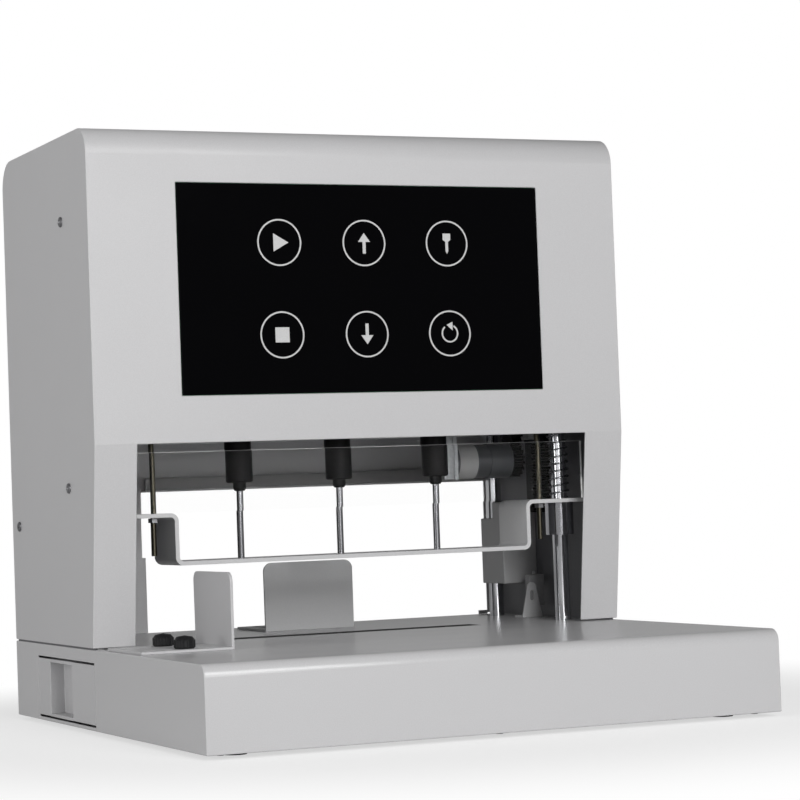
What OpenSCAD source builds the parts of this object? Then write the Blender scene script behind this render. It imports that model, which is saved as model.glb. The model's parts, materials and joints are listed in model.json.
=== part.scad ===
// Automatic three hole paper punch. A press bar clamps the stack, then three hollow bits drill it.
// Millimetres, +Z up, front towards -Y. The origin is on the floor under the middle of the base.

/* [Casing] */
// Width of the base and of the housing
body_w = 420; // [400:5:460]
// Depth of the base from front to back
base_d = 430; // [420:5:470]
// Height of the base without its feet
base_h = 57; // [52:1:66]
// Height of the housing above the table
house_h = 370; // [360:5:400]
// Thickness of the bent cover sheets
sheet = 1.5; // [1:0.1:2]
// Height of the rubber feet
foot_h = 3; // [2:0.5:6]
// Diameter of the rubber feet
foot_d = 18; // [14:1:26]
// Depth of the housing from the control panel's face to the back
house_d = 218; // [212:1:230]
// How far the legs lean back from the panel's face down to the table
undercut = 19; // [8:1:20]
// Bend radius at the front edge of the roof
roof_front_r = 20; // [10:1:26]
// Bend radius at the back edge of the roof
roof_back_r = 22; // [10:1:26]
// Bend radius at the front edge of the table
table_r = 8; // [4:1:14]
// Shadow gap between the housing and the table
shadow_gap = 1.2; // [0.6:0.2:2]
// Gap around pieces that are set into the covers
cover_gap = 0.4; // [0.2:0.1:0.8]

/* [Window and panel] */
// Width of the legs beside the working window
leg_w = 31.5; // [27:0.5:37]
// Height of the working window
window_h = 144; // [138:1:150]
// Width of the touch panel's glass
glass_w = 287; // [240:1:320]
// Height of the touch panel's glass
glass_h = 152; // [120:1:160]
// Height of the glass above the window
glass_rise = 34; // [26:1:44]
// How far the glass stands proud of the panel
glass_proud = 0.3; // [0:0.1:1]
// Width of the rear cover's closed part beside the inlet
rear_leg_left = 104; // [96:1:120]
// Width of the rear cover's other leg
rear_leg_right = 15; // [12:1:60]
// Height of the opening in the rear cover
rear_h = 111; // [90:1:116]

/* [Frame] */
// Thickness of the side frames
frame_t = 3; // [2:0.5:4]
// Gap between the drill motor and the top plate
motor_room = 7; // [4:1:12]
// Thickness of the top plate
top_t = 5; // [4:0.5:8]
// Thickness of the bed plate under the table
bed_t = 8; // [6:0.5:10]
// Diameter of the guide posts
post_d = 12; // [10:0.5:13]
// Distance of the guide posts from the sides of the casing
post_inset = 26.5; // [24:0.5:29]
// Distance of the front guide posts behind the panel's face
post_gap = 58; // [54:1:60]
// Distance of the rear guide posts from the back
rear_post_gap = 43; // [40:1:46]
// Outside diameter of the guide bushings
bush_d = 22; // [18:1:24]
// Length of the guide bushings
bush_l = 30; // [20:1:34]
// Radial clearance of shafts and posts in their bores
run_fit = 0.05; // [0.02:0.01:0.1]

/* [Head] */
// Height of the head plate's underside above the table, head up
head_rise = 175; // [170:1:180]
// Thickness of the head plate
head_t = 8; // [6:0.5:10]
// Distance between neighbouring holes
hole_pitch = 80; // [72:1:84]
// Distance of the bits behind the panel's face
bit_gap = 63; // [60:1:64]
// Diameter of the bits
bit_d = 5; // [4:0.5:7]
// Wall of the hollow bits
bit_wall = 0.8; // [0.5:0.1:1]
// How far the bits reach below the press bar, bar down
tip_out = 0.8; // [0.6:0.1:1.2]
// Diameter of the spindle quills
quill_d = 20; // [16:1:24]
// Height of the quills' lower ends above the table, head up
quill_rise = 115; // [112:1:122]
// Length of the collet nose under each quill
nose_l = 6; // [4:0.5:8]
// Diameter of the spindle shafts
spindle_d = 12; // [10:0.5:14]
// Outside diameter of the spindle bearings
bearing_d = 28; // [24:1:32]
// Face width of the spindle gears
gear_w = 12; // [8:1:14]
// Teeth of the spindle and idler gears
gear_teeth = 20; // [16:1:24]
// Teeth of the drill motor's pinion
pinion_teeth = 12; // [12:1:16]
// Gap between the head plate and the upper gear plate
gear_room = 36; // [32:1:40]
// Diameter of the drill motor
motor_d = 60; // [50:1:66]
// Length of the drill motor
motor_l = 80; // [60:1:84]

/* [Lift] */
// Module of the lift gears
lift_module = 1.5; // [1.4:0.1:1.7]
// Teeth of the lift gears
lift_teeth = 16; // [15:1:18]
// Face width of the lift gears
lift_w = 8; // [6:0.5:9]
// Depth of the lift shaft behind the panel's face
lift_gap = 103; // [101:0.5:106]
// Height of the lift shaft under the head plate
lift_drop = 25; // [24:0.5:28]
// Diameter of the lift shaft
lift_d = 8; // [6:0.5:9]
// Diameter of the lift gear motor
lift_motor_d = 26; // [22:1:28]

/* [Press] */
// Gap between the table and the press bar, bar up
bar_rise = 56.5; // [52:0.5:58]
// Height of the press bar's hat profile
bar_h = 38; // [34:0.5:42]
// Thickness of the press bar
bar_t = 3; // [2:0.5:4]
// Depth of the press bar
bar_d = 48; // [46:1:58]
// Distance of the press bar behind the panel's face
bar_gap = 28; // [26:1:30]
// Distance from the guide posts to the outer faces of the bar's webs
web_gap = 40.5; // [36:0.5:44]
// Gap between the press bar's ends and the side frames
bar_end_gap = 5.5; // [3:0.5:8]
// Outside radius of the press bar's bends
bar_r = 6; // [4.5:0.5:8]
// Length of the press bar's guide bushings
press_bush_l = 25; // [18:1:30]
// Height of the clear guard
guard_h = 44; // [36:1:46]
// Thickness of the clear guard
guard_t = 4; // [3:0.5:5]
// How far the clear guard stops short of the bar's ends
guard_short = 11; // [6:1:18]
// Distance from the bar's webs to the hanger rods
rod_gap = 13; // [11:0.5:15]
// Diameter of the hanger rods
rod_d = 4; // [3:0.5:5]
// Wire of the press springs
wire = 1.4; // [1:0.1:1.6]
// Turns of the press springs
turns = 16; // [12:1:18]

/* [Table] */
// How far the die strip reaches past the outer holes
die_over = 30; // [24:1:40]
// Width of the die strip
die_w = 22; // [14:1:24]
// Thickness of the die strip
die_t = 4; // [3:0.5:5]
// Gap between the bits and the die holes
die_clear = 1.5; // [1:0.1:2]
// Height of the stop plates above the table
stop_h = 53; // [40:1:54]
// Thickness of the stop plates
stop_t = 2; // [1.5:0.1:2.5]
// Radius of the stop plates' upper corners
stop_r = 7; // [3:0.5:12]
// Depth of the side stop
stop_d = 75; // [60:1:84]
// Width of the side stop's foot
stop_w = 67; // [60:1:74]
// Distance of the side stop's foot from the left side
stop_inset = 5; // [5:1:8]
// Diameter of the thumb screws
knob_d = 15; // [12:0.5:18]
// Height of the thumb screws
knob_h = 9; // [7:0.5:12]
// Width of the back gauge
gauge_w = 74; // [60:1:90]
// Depth of the back gauge's foot
gauge_d = 63; // [58:1:66]
// Distance of the back gauge behind the bits
gauge_gap = 67; // [66:1:72]

/* [Drawer] */
// Width of the chip drawer's front
drawer_w = 140; // [120:1:150]
// Height of the drawer's lower edge above the base's lower edge
drawer_sill = 4; // [3:0.5:8]
// Distance from the panel's face to the drawer's near edge
drawer_gap = 18.5; // [14:0.5:24]
// Length of the chip drawer
drawer_l = 300; // [260:5:330]
// Width of the pull channel
pull_w = 55; // [40:1:60]
// Depth of the pull channel
pull_d = 11; // [8:0.5:14]
// Distance of the pull channel from the middle of the drawer's front
pull_shift = 12; // [0:1:24]
// Gap over and under the drawer's front
drawer_slit = 1.4; // [0.8:0.1:1.8]

/* [Hidden] */
$fn = 48;

// Colours of the finishes
paint = "#c8c8ca";
frame_grey = "#55565a";
zinc = "#9b9da0";
steel = "#c9ccd0";
bronze = "#a58f5a";
black = "#1b1b1d";

// Fits and fasteners
soft_fit = 0.3;
screw_d = 4;
screw_head_d = 7.5;
screw_head_h = 1.6;
screw_bevel = 1;
screw_fit = 0.1;
hex = 6;

// Reach of cutting tools past the faces they cut
deep = 1000;
eps = 0.5;

// Planes that most pieces refer to
side_x = body_w / 2;
inner_x = side_x - sheet;
frame_x = inner_x - frame_t;
front_y = -base_d / 2;
back_y = base_d / 2;
panel_y = back_y - house_d;
leg_y = panel_y + undercut;
table_z = foot_h + base_h;
bed_top = table_z - sheet;
cover_z = table_z + shadow_gap;
window_z = table_z + window_h;
roof_z = table_z + house_h;

// Side frames and bed stand behind the leaning legs
frame_gap = 4;
frame_y = [leg_y + frame_gap, back_y - sheet];
bed_rear_gap = 10;
bed_side_gap = 10;
bed_y = [frame_y[0], back_y - bed_rear_gap];
bed_x = frame_x - bed_side_gap;
bed_z = bed_top - bed_t;

// Posts, bits and press bar
post_x = side_x - post_inset;
post_y = [panel_y + post_gap, back_y - rear_post_gap];
bit_y = panel_y + bit_gap;
bit_xs = [-hole_pitch, 0, hole_pitch];
bar_y = [panel_y + bar_gap, panel_y + bar_gap + bar_d];
bar_z = table_z + bar_rise;
flange_z = bar_z + bar_h;
web_x = post_x - web_gap;
bar_x = frame_x - bar_end_gap;
rod_x = web_x + rod_gap;
rod_setback = 10;
rod_y = bar_y[0] + rod_setback;
low_gap = 0.4;
head_travel = bar_rise - low_gap;
tip_z = bar_z - tip_out;

// Head plate, gear room and drill motor
head_z = table_z + head_rise;
head_top = head_z + head_t;
gear_plate_t = 6;
gear_plate_z = head_top + gear_room;
gear_plate_top = gear_plate_z + gear_plate_t;
gear_lift = 7;
gear_z = head_top + gear_lift;
gear_module = hole_pitch / gear_teeth / 2;
gear_r = gear_module * gear_teeth / 2;
motor_y = bit_y + gear_r + gear_module * pinion_teeth / 2;
top_z = gear_plate_top + motor_l + motor_room;

// Lift drive
lift_y = panel_y + lift_gap;
lift_z = head_z - lift_drop;
lift_r = lift_module * lift_teeth / 2;
lift_motor_z = lift_z - 2 * lift_r;
rack_y = lift_y + lift_r;
rack_back = 12;
rack_w = 15.5;
rack_x = frame_x - rack_w;
block_w = 8;
block_gap = 4;
block_x = [rack_x - block_gap - block_w, rack_x - block_gap];
lift_gear_gap = 15;
lift_gear_x = block_x[0] - lift_gear_gap;

// A block between two corners, given as a span along each axis
module span(x, y, z)
    translate([x[0], y[0], z[0]])
        cube([x[1] - x[0], y[1] - y[0], z[1] - z[0]]);

// An outline drawn in Y and Z, carried along X
module along_x(x)
    translate([x[0], 0, 0])
        rotate([90, 0, 90])
            linear_extrude(x[1] - x[0])
                children();

// An outline drawn in X and Z, carried along Y
module along_y(y)
    translate([0, y[1], 0])
        rotate([90, 0, 0])
            linear_extrude(y[1] - y[0])
                children();

// A turned piece with its axis along X
module turned_x(x, y, z, r)
    translate([x[0], y, z])
        rotate([0, 90, 0])
            cylinder(h = x[1] - x[0], r = r);

module both_sides() {
    children();
    mirror([1, 0, 0])
        children();
}

module at_posts()
    for (x = [-post_x, post_x], y = post_y)
        translate([x, y, 0])
            children();

module at_bits()
    for (x = bit_xs)
        translate([x, bit_y, 0])
            children();

// A slot with round ends along Y, centred on the origin
module slot_y(len, d, h) {
    for (y = [-(len - d) / 2, (len - d) / 2])
        translate([0, y, 0])
            cylinder(h = h, d = d);
    translate([-d / 2, -(len - d) / 2, 0])
        cube([d, len - d, h]);
}

// What is cut from a corner to round it, with the arc's centre at the origin
module corner_waste(r)
    difference() {
        square(r + eps);
        circle(r);
    }

// A ring with its lower face at height z
module ring(z, h, d, bore)
    translate([0, 0, z])
        difference() {
            cylinder(h = h, d = d);
            translate([0, 0, -eps])
                cylinder(h = h + 2 * eps, d = bore);
        }

module hex_nut(z, h, d, bore)
    translate([0, 0, z])
        difference() {
            cylinder(h = h, d = d, $fn = hex);
            translate([0, 0, -eps])
                cylinder(h = h + 2 * eps, d = bore);
        }

// Involute gear outline with a tooth on the first axis. The tooth's flank runs through four radii.
pressure = 20;
tooth_slack = 0.2;
root_depth = 1.1;
tip_height = 0.8;
function inv(a) = tan(a) * 180 / PI - a;
function half_tooth(m, n, r) =
    let (rp = m * n / 2, rb = rp * cos(pressure))
    90 / n - tooth_slack / rp * 90 / PI + inv(pressure) - (r > rb ? inv(acos(rb / r)) : 0);
function flank_radii(m, n) =
    let (rp = m * n / 2)
    [rp - root_depth * m, rp - 0.3 * m, rp + 0.25 * m, rp + tip_height * m];
function polar(r, a) = [r * cos(a), r * sin(a)];
function gear_points(m, n) =
    let (radii = flank_radii(m, n))
    [for (i = [0 : n - 1]) each concat(
        [for (r = radii) polar(r, i * 360 / n - half_tooth(m, n, r))],
        [for (k = [3 : -1 : 0]) polar(radii[k], i * 360 / n + half_tooth(m, n, radii[k]))])];
module gear(m, n, w, bore)
    linear_extrude(w)
        difference() {
            polygon(gear_points(m, n));
            circle(d = bore);
        }

// Angle from a tooth to the quarter turn of a gear of n teeth
function quarter_rest(n) = 90 % (360 / n);

// Casing

foot_inset = 30;
foot_taper = 1.5;
drawer_y = [panel_y + drawer_gap, panel_y + drawer_gap + drawer_w];
drawer_top_gap = 1;
drawer_z = [foot_h + drawer_sill, bed_z - drawer_top_gap];
die_x = hole_pitch + die_over;
die_z = table_z - die_t;
die_hole_d = bit_d + 2 * die_clear;
chute_over = 3;
chute_d = die_hole_d + chute_over;

// Side stop and back gauge stand on the table
stop_rear = 1;
stop_x = [-side_x + stop_inset, -side_x + stop_inset + stop_w];
stop_y = [panel_y + stop_rear - stop_d, panel_y + stop_rear];
slot_margin = 6;
slot_w = screw_d + 2 * soft_fit;
knob_shift = 36;
knob_inset = 15;
knob_x = stop_x[0] + knob_shift;
knob_ys = [stop_y[0] + knob_inset, stop_y[1] - knob_inset];
gauge_y = bit_y + gauge_gap;
gauge_slot_gap = [7, 4];
gauge_slot = [gauge_y + gauge_slot_gap[0], gauge_y + gauge_d - gauge_slot_gap[1]];
gauge_screw_gap = 8.5;
gauge_screw_y = gauge_slot[0] + gauge_screw_gap;
gauge_screw_inset = 12;
gauge_screw_xs = [gauge_screw_inset - gauge_w / 2, gauge_w / 2 - gauge_screw_inset];

module at_knobs()
    for (y = knob_ys)
        translate([knob_x, y, 0])
            children();

module at_gauge_screws()
    for (x = gauge_screw_xs)
        translate([x, gauge_screw_y, 0])
            children();

module die_recess()
    span([-die_x - run_fit, die_x + run_fit],
        [bit_y - die_w / 2 - run_fit, bit_y + die_w / 2 + run_fit], [die_z, deep]);

// The base seen from the side, its wall drawn in by inset
module base_outline(inset)
    difference() {
        translate([front_y + inset, foot_h])
            square([base_d - 2 * inset, base_h - inset]);
        translate([front_y + table_r, table_z - table_r])
            mirror([1, 0])
                corner_waste(table_r - inset);
    }

module base_shell()
    color(paint)
        difference() {
            along_x([-side_x, side_x])
                base_outline(0);
            along_x([-inner_x, inner_x])
                base_outline(sheet);
            span([-inner_x, inner_x], [front_y + sheet, back_y - sheet], [foot_h - eps, foot_h + eps]);
            span([-side_x - eps, -inner_x + eps],
                [drawer_y[0] - cover_gap, drawer_y[1] + cover_gap],
                [drawer_z[0] - drawer_slit, drawer_z[1] + drawer_slit]);
            die_recess();
            at_posts()
                cylinder(h = deep, d = post_d + 2 * soft_fit);
            at_knobs()
                cylinder(h = deep, d = screw_d + 2 * screw_fit);
            at_gauge_screws()
                cylinder(h = deep, d = screw_d + 2 * screw_fit);
        }

module bottom_plate()
    color(frame_grey)
        span([-inner_x + cover_gap, inner_x - cover_gap],
            [front_y + sheet + cover_gap, back_y - sheet - cover_gap], [foot_h, foot_h + sheet]);

module feet()
    color(black)
        for (x = [foot_inset - side_x, side_x - foot_inset], y = [front_y + foot_inset, back_y - foot_inset])
            translate([x, y, 0])
                rotate_extrude()
                    polygon([[0, 0], [foot_d / 2 - foot_taper, 0], [foot_d / 2, foot_h], [0, foot_h]]);

module bed_plate()
    color(frame_grey)
        difference() {
            span([-bed_x, bed_x], bed_y, [bed_z, bed_top]);
            die_recess();
            at_bits()
                cylinder(h = deep, d = chute_d);
            at_gauge_screws()
                cylinder(h = deep, d = screw_d + 2 * run_fit);
        }

module die_strip()
    color(black)
        difference() {
            span([-die_x, die_x], [bit_y - die_w / 2, bit_y + die_w / 2], [die_z, table_z]);
            at_bits()
                cylinder(h = deep, d = die_hole_d);
        }

// The housing seen from the side, its wall drawn in by inset
module house_outline(inset, low) {
    lean = undercut / window_h;
    difference() {
        polygon([
            [leg_y + inset - (low - table_z) * lean, low], [panel_y + inset, window_z],
            [panel_y + inset, roof_z - inset], [back_y - inset, roof_z - inset], [back_y - inset, low]]);
        translate([panel_y + roof_front_r, roof_z - roof_front_r])
            mirror([1, 0])
                corner_waste(roof_front_r - inset);
        translate([back_y - roof_back_r, roof_z - roof_back_r])
            corner_waste(roof_back_r - inset);
    }
}

// Three screws hold each side of the housing to its side frame
screw_front = 64;
screw_rear = 21;
screw_drop = 4;
screw_mid = 115;
screw_low = 88;
screw_spots = [
    [panel_y + screw_front, top_z - screw_drop], [panel_y + screw_front, table_z + screw_mid],
    [back_y - screw_rear, table_z + screw_low]];
rear_lap = 40;
rear_top = roof_z - rear_lap;
window_x = side_x - leg_w;

module at_side_screws(x)
    for (s = [-1, 1], p = screw_spots)
        translate([s * x, p[0], p[1]])
            rotate([0, s * 90, 0])
                children();

module housing_cover()
    color(paint)
        difference() {
            along_x([-side_x, side_x])
                house_outline(0, cover_z);
            along_x([-inner_x, inner_x])
                house_outline(sheet, cover_z - eps);
            span([-window_x, window_x], [panel_y - eps, leg_y + sheet + eps], [cover_z - eps, window_z]);
            span([-inner_x, inner_x], [back_y - sheet - eps, back_y + eps], [cover_z - eps, rear_top]);
            span([-glass_w / 2 - cover_gap, glass_w / 2 + cover_gap],
                [panel_y - eps, panel_y + sheet + eps], [glass_z[0] - cover_gap, glass_z[1] + cover_gap]);
            at_side_screws(inner_x - eps)
                cylinder(h = sheet + 2 * eps, d = screw_d + 2 * screw_fit);
        }

module side_screws()
    color("#8d8f92")
        at_side_screws(frame_x) {
            cylinder(h = side_x - frame_x + eps, d = screw_d);
            translate([0, 0, side_x - frame_x])
                cylinder(h = screw_head_h, d1 = screw_head_d, d2 = screw_head_d - 2 * screw_bevel);
        }

// Mains inlet in the rear cover's closed leg
inlet_w = 34;
inlet_h = 62;
inlet_depth = 20;
inlet_rise = 70;
rear_x = [-side_x + rear_leg_left, side_x - rear_leg_right];
inlet_inset = 55.75;
inlet_x = inlet_inset - side_x;
inlet_z = table_z + inlet_rise;
lip = 12;
vent_n = 8;
vent_l = 60;
vent_w = 4;
vent_pitch = 10;
vent_rise = 79;

module inlet_block(grow, y)
    span([inlet_x - inlet_w / 2 - grow, inlet_x + inlet_w / 2 + grow], y,
        [inlet_z - inlet_h / 2 - grow, inlet_z + inlet_h / 2 + grow]);

module rear_cover()
    color(paint)
        difference() {
            union() {
                span([-inner_x + cover_gap, inner_x - cover_gap], [back_y - sheet, back_y],
                    [cover_z, rear_top - cover_gap]);
                span(rear_x, [back_y - sheet - lip, back_y - eps],
                    [table_z + rear_h, table_z + rear_h + sheet]);
            }
            span(rear_x, [back_y - sheet - eps, back_y + eps], [cover_z - eps, table_z + rear_h]);
            inlet_block(run_fit, [back_y - sheet - eps, back_y + eps]);
            for (i = [0 : vent_n - 1])
                translate([-vent_l / 2, back_y - sheet - eps, table_z + rear_h + vent_rise + i * vent_pitch])
                    cube([vent_l, sheet + 2 * eps, vent_w]);
        }

// Frame

top_plate_gap = [2, 7];

module side_frames()
    color(frame_grey)
        difference() {
            both_sides()
                span([frame_x, inner_x], frame_y, [table_z, top_z + top_t]);
            at_side_screws(frame_x - eps)
                cylinder(h = frame_t + 2 * eps, d = screw_d + 2 * run_fit);
        }

module top_plate()
    color(frame_grey)
        span([-frame_x, frame_x], [frame_y[0] + top_plate_gap[0], back_y - top_plate_gap[1]],
            [top_z, top_z + top_t]);

module guide_posts()
    color(steel)
        at_posts()
            translate([0, 0, bed_top])
                cylinder(h = top_z - bed_top, d = post_d);

// Blocks that tie the rear posts to the side frames, stepped at the front
bracket_wall = 2;
bracket_reach = 32;
bracket_step = 14;
rack_room = 3;
bracket_y = [
    max(post_y[1] - bracket_reach, rack_y + rack_back + rack_room),
    post_y[1] + post_d / 2 + bracket_wall];
bracket_low = 27;
bracket_high = 93;
bracket_shelf = 80;

module post_brackets()
    color("#a9abad")
        both_sides()
            difference() {
                along_x([post_x - post_d / 2 - bracket_wall, frame_x])
                    translate([0, table_z])
                        polygon([
                            [bracket_y[0], bracket_low], [bracket_y[1], bracket_low],
                            [bracket_y[1], bracket_shelf], [post_y[1] - bracket_step, bracket_shelf],
                            [post_y[1] - bracket_step, bracket_high], [bracket_y[0], bracket_high]]);
                translate([post_x, post_y[1], 0])
                    cylinder(h = deep, d = post_d + 2 * soft_fit);
            }

// Rack teeth point towards the pinions, with a gap at the height of the raised lift shaft
tooth_pitch = PI * lift_module;
rack_root = 1.05 * lift_module;
rack_tip = tip_height * lift_module;
rack_spare = 8;
rack_low = ceil((head_travel + rack_spare) / tooth_pitch);
rack_high = 3;
function rack_teeth() =
    let (half = tooth_pitch / 4 - tooth_slack / 2, lean = tan(pressure))
    [for (k = [-rack_low : rack_high - 1])
        let (z = lift_z + (k + 0.5) * tooth_pitch)
        each [
            [rack_y + rack_root, z - half - rack_root * lean],
            [rack_y - rack_tip, z - half + rack_tip * lean],
            [rack_y - rack_tip, z + half - rack_tip * lean],
            [rack_y + rack_root, z + half + rack_root * lean]]];

module lift_racks() {
    low = lift_z - rack_low * tooth_pitch;
    high = lift_z + rack_high * tooth_pitch;
    color("#3a3b3e")
        both_sides()
            along_x([rack_x, frame_x])
                polygon(concat(
                    [[rack_y + rack_back, low], [rack_y + rack_root, low]],
                    rack_teeth(),
                    [[rack_y + rack_root, high], [rack_y + rack_back, high]]));
}

// Touch panel in the housing's front, with its board behind it
glass_z = [window_z + glass_rise, window_z + glass_rise + glass_h];
board_lap = 8;
board_t = 2;
chip_t = 4;
chip_w = 28;
chip_h = 24;
chip_xs = [-90, 0, 80];

module touch_panel()
    color("#0b0b0d")
        span([-glass_w / 2, glass_w / 2], [panel_y - glass_proud, panel_y + sheet], glass_z);

module control_board()
    color("#1f5a3a") {
        board_y = panel_y + sheet;
        middle = (glass_z[0] + glass_z[1]) / 2;
        span([-glass_w / 2 - board_lap, glass_w / 2 + board_lap], [board_y, board_y + board_t],
            [glass_z[0] - board_lap, glass_z[1] + board_lap]);
        for (x = chip_xs)
            span([x - chip_w / 2, x + chip_w / 2], [board_y + board_t - eps, board_y + board_t + chip_t],
                [middle - chip_h / 2, middle + chip_h / 2]);
    }

// Power supply on the top plate, with its terminal step at one end
supply_w = 160;
supply_d = 95;
supply_h = 36;
terminal_w = 16;
terminal_h = 16;

module power_supply()
    color("#b5b7b9")
        translate([0, 0, top_z + top_t])
            along_y([bit_y, bit_y + supply_d])
                polygon([
                    [-supply_w / 2, 0], [supply_w / 2, 0], [supply_w / 2, supply_h],
                    [terminal_w - supply_w / 2, supply_h], [terminal_w - supply_w / 2, terminal_h],
                    [-supply_w / 2, terminal_h]]);

// The inlet's socket lies under its switch, both flush with the rear cover
socket_w = 24;
socket_h = 17;
socket_depth = 15;
socket_drop = 15;
socket_z = inlet_z - socket_drop;
blade_t = 2;
blade_h = 4;
blade_l = 9;
blade_pitch = 7;
blade_low = 1.5;
blade_high = 2.5;
blade_spots = [[-blade_pitch, -blade_low], [0, blade_high], [blade_pitch, -blade_low]];
rocker_w = 14;
rocker_h = 20;
rocker_lift = 14;
rocker_z = inlet_z + rocker_lift;
rocker_tilt = 8;
rocker_face = 7.6;
rocker_dip = 1.2;
rocker_back = 1;
rocker_keel = 5;
rocker_side_gap = 0.4;
rocker_end_gap = 1.6;
rocker_pit = 17;
pivot_sunk = 9.6;
pivot_y = back_y - pivot_sunk;
pivot_d = 3;
pivot_out = 1.8;

module power_inlet()
    color(black)
        difference() {
            inlet_block(0, [back_y - inlet_depth, back_y]);
            difference() {
                span([inlet_x - socket_w / 2, inlet_x + socket_w / 2], [back_y - socket_depth, back_y + eps],
                    [socket_z - socket_h / 2, socket_z + socket_h / 2]);
                for (p = blade_spots)
                    translate([inlet_x + p[0] - blade_t / 2, back_y - socket_depth - eps,
                        socket_z + p[1] - blade_h / 2])
                        cube([blade_t, blade_l + eps, blade_h]);
            }
            span([inlet_x - rocker_w / 2 - rocker_side_gap, inlet_x + rocker_w / 2 + rocker_side_gap],
                [back_y - rocker_pit, back_y + eps],
                [rocker_z - rocker_h / 2 - rocker_end_gap, rocker_z + rocker_h / 2 + rocker_end_gap]);
            rocker_pivot(pivot_out + run_fit, pivot_d / 2 + run_fit);
        }

module rocker_pivot(out, r)
    turned_x([inlet_x - rocker_w / 2 - out, inlet_x + rocker_w / 2 + out], pivot_y, rocker_z, r);

module rocker()
    color("#202022") {
        translate([0, pivot_y, rocker_z])
            rotate([rocker_tilt, 0, 0])
                along_x([inlet_x - rocker_w / 2, inlet_x + rocker_w / 2])
                    polygon([
                        [-rocker_keel, 0], [-rocker_back, -rocker_h / 2], [rocker_face, -rocker_h / 2],
                        [rocker_face - rocker_dip, 0], [rocker_face, rocker_h / 2],
                        [-rocker_back, rocker_h / 2]]);
        rocker_pivot(pivot_out, pivot_d / 2);
    }

// Sensor bracket with a rounded upright and an adjusting slot
sensor_shift = 5.5;
sensor_back = 18;
sensor_x = post_x + sensor_shift;
sensor_y = lift_y + sensor_back;
sensor_foot = 18;
sensor_foot_d = 15;
sensor_h = 28;
sensor_top_r = 3.7;
sensor_slot = [15, 20];
sensor_slot_w = 3.4;
switch_x = [-1, 12];
switch_d = 8;
switch_z = [9, 34];
plunger_d = 3;
plunger_h = 2.5;

module sensor_bracket()
    color(zinc) {
        translate([sensor_x, 0, table_z])
            along_y([sensor_y, sensor_y + sheet])
                difference() {
                    union() {
                        polygon([
                            [-sensor_foot / 2, 0], [sensor_foot / 2, 0],
                            [sensor_top_r, sensor_h - sensor_top_r],
                            [-sensor_top_r, sensor_h - sensor_top_r]]);
                        translate([0, sensor_h - sensor_top_r])
                            circle(sensor_top_r);
                    }
                    for (z = sensor_slot)
                        translate([0, z])
                            circle(d = sensor_slot_w);
                    translate([-sensor_slot_w / 2, sensor_slot[0]])
                        square([sensor_slot_w, sensor_slot[1] - sensor_slot[0]]);
                }
        span([sensor_x - sensor_foot / 2, sensor_x + sensor_foot / 2],
            [sensor_y + sheet - eps, sensor_y + sensor_foot_d], [table_z, table_z + sheet]);
    }

module limit_switch()
    color("#4a4c50")
        translate([sensor_x, sensor_y + sheet, table_z]) {
            span(switch_x, [0, switch_d], switch_z);
            translate([(switch_x[0] + switch_x[1]) / 2, switch_d / 2, switch_z[1] - eps])
                cylinder(h = plunger_h + eps, d = plunger_d);
        }

// Table fittings

// A plate that stands on the table, rounded at its upper corners
module stop_plate(w, h)
    difference() {
        square([w, h]);
        translate([stop_r, h - stop_r])
            mirror([1, 0])
                corner_waste(stop_r);
        translate([w - stop_r, h - stop_r])
            corner_waste(stop_r);
    }

module side_stop()
    color(paint)
        difference() {
            union() {
                span(stop_x, stop_y, [table_z, table_z + stop_t]);
                translate([0, stop_y[0], table_z])
                    along_x([stop_x[1] - stop_t, stop_x[1]])
                        stop_plate(stop_d, stop_h);
            }
            for (y = knob_ys)
                translate([(stop_x[0] + stop_x[1]) / 2, y, table_z - eps])
                    rotate(90)
                        slot_y(stop_w - 2 * slot_margin, slot_w, stop_t + 2 * eps);
        }

stop_nut_d = 8;
stop_nut_h = 4;

module stop_nuts()
    color(steel)
        at_knobs()
            hex_nut(bed_top - stop_nut_h, stop_nut_h, stop_nut_d, screw_d + 2 * run_fit);

flute_n = 12;
flute_r = 1.2;
flute_out = 0.6;
knob_chamfer = 1;
knob_shank = 5;

module thumb_screw(y)
    color(black)
        translate([knob_x, y, table_z + stop_t + screw_fit]) {
            difference() {
                rotate_extrude()
                    polygon([
                        [0, 0], [knob_d / 2 - knob_chamfer, 0], [knob_d / 2, knob_chamfer],
                        [knob_d / 2, knob_h - 3.5 * knob_chamfer],
                        [knob_d / 2 - 2 * knob_chamfer, knob_h - knob_chamfer], [0, knob_h]]);
                for (i = [0 : flute_n - 1])
                    rotate(360 / flute_n * i)
                        translate([knob_d / 2 + flute_out, 0, -eps])
                            cylinder(h = knob_h + 2 * eps, r = flute_r);
            }
            translate([0, 0, -stop_t - sheet - knob_shank])
                cylinder(h = stop_t + sheet + knob_shank + eps, d = screw_d);
        }

module front_thumb_screw()
    thumb_screw(knob_ys[0]);

module rear_thumb_screw()
    thumb_screw(knob_ys[1]);

module back_gauge()
    color("#9fa1a4")
        difference() {
            union() {
                translate([-gauge_w / 2, 0, table_z])
                    along_y([gauge_y, gauge_y + stop_t])
                        stop_plate(gauge_w, stop_h);
                span([-gauge_w / 2, gauge_w / 2], [gauge_y, gauge_y + gauge_d], [table_z, table_z + stop_t]);
            }
            for (x = gauge_screw_xs)
                translate([x, (gauge_slot[0] + gauge_slot[1]) / 2, table_z - eps])
                    slot_y(gauge_slot[1] - gauge_slot[0], slot_w, stop_t + 2 * eps);
        }

gauge_head_d = 8;
gauge_head_h = 2.4;
gauge_bevel = 1;
gauge_tip_gap = 1;

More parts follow.
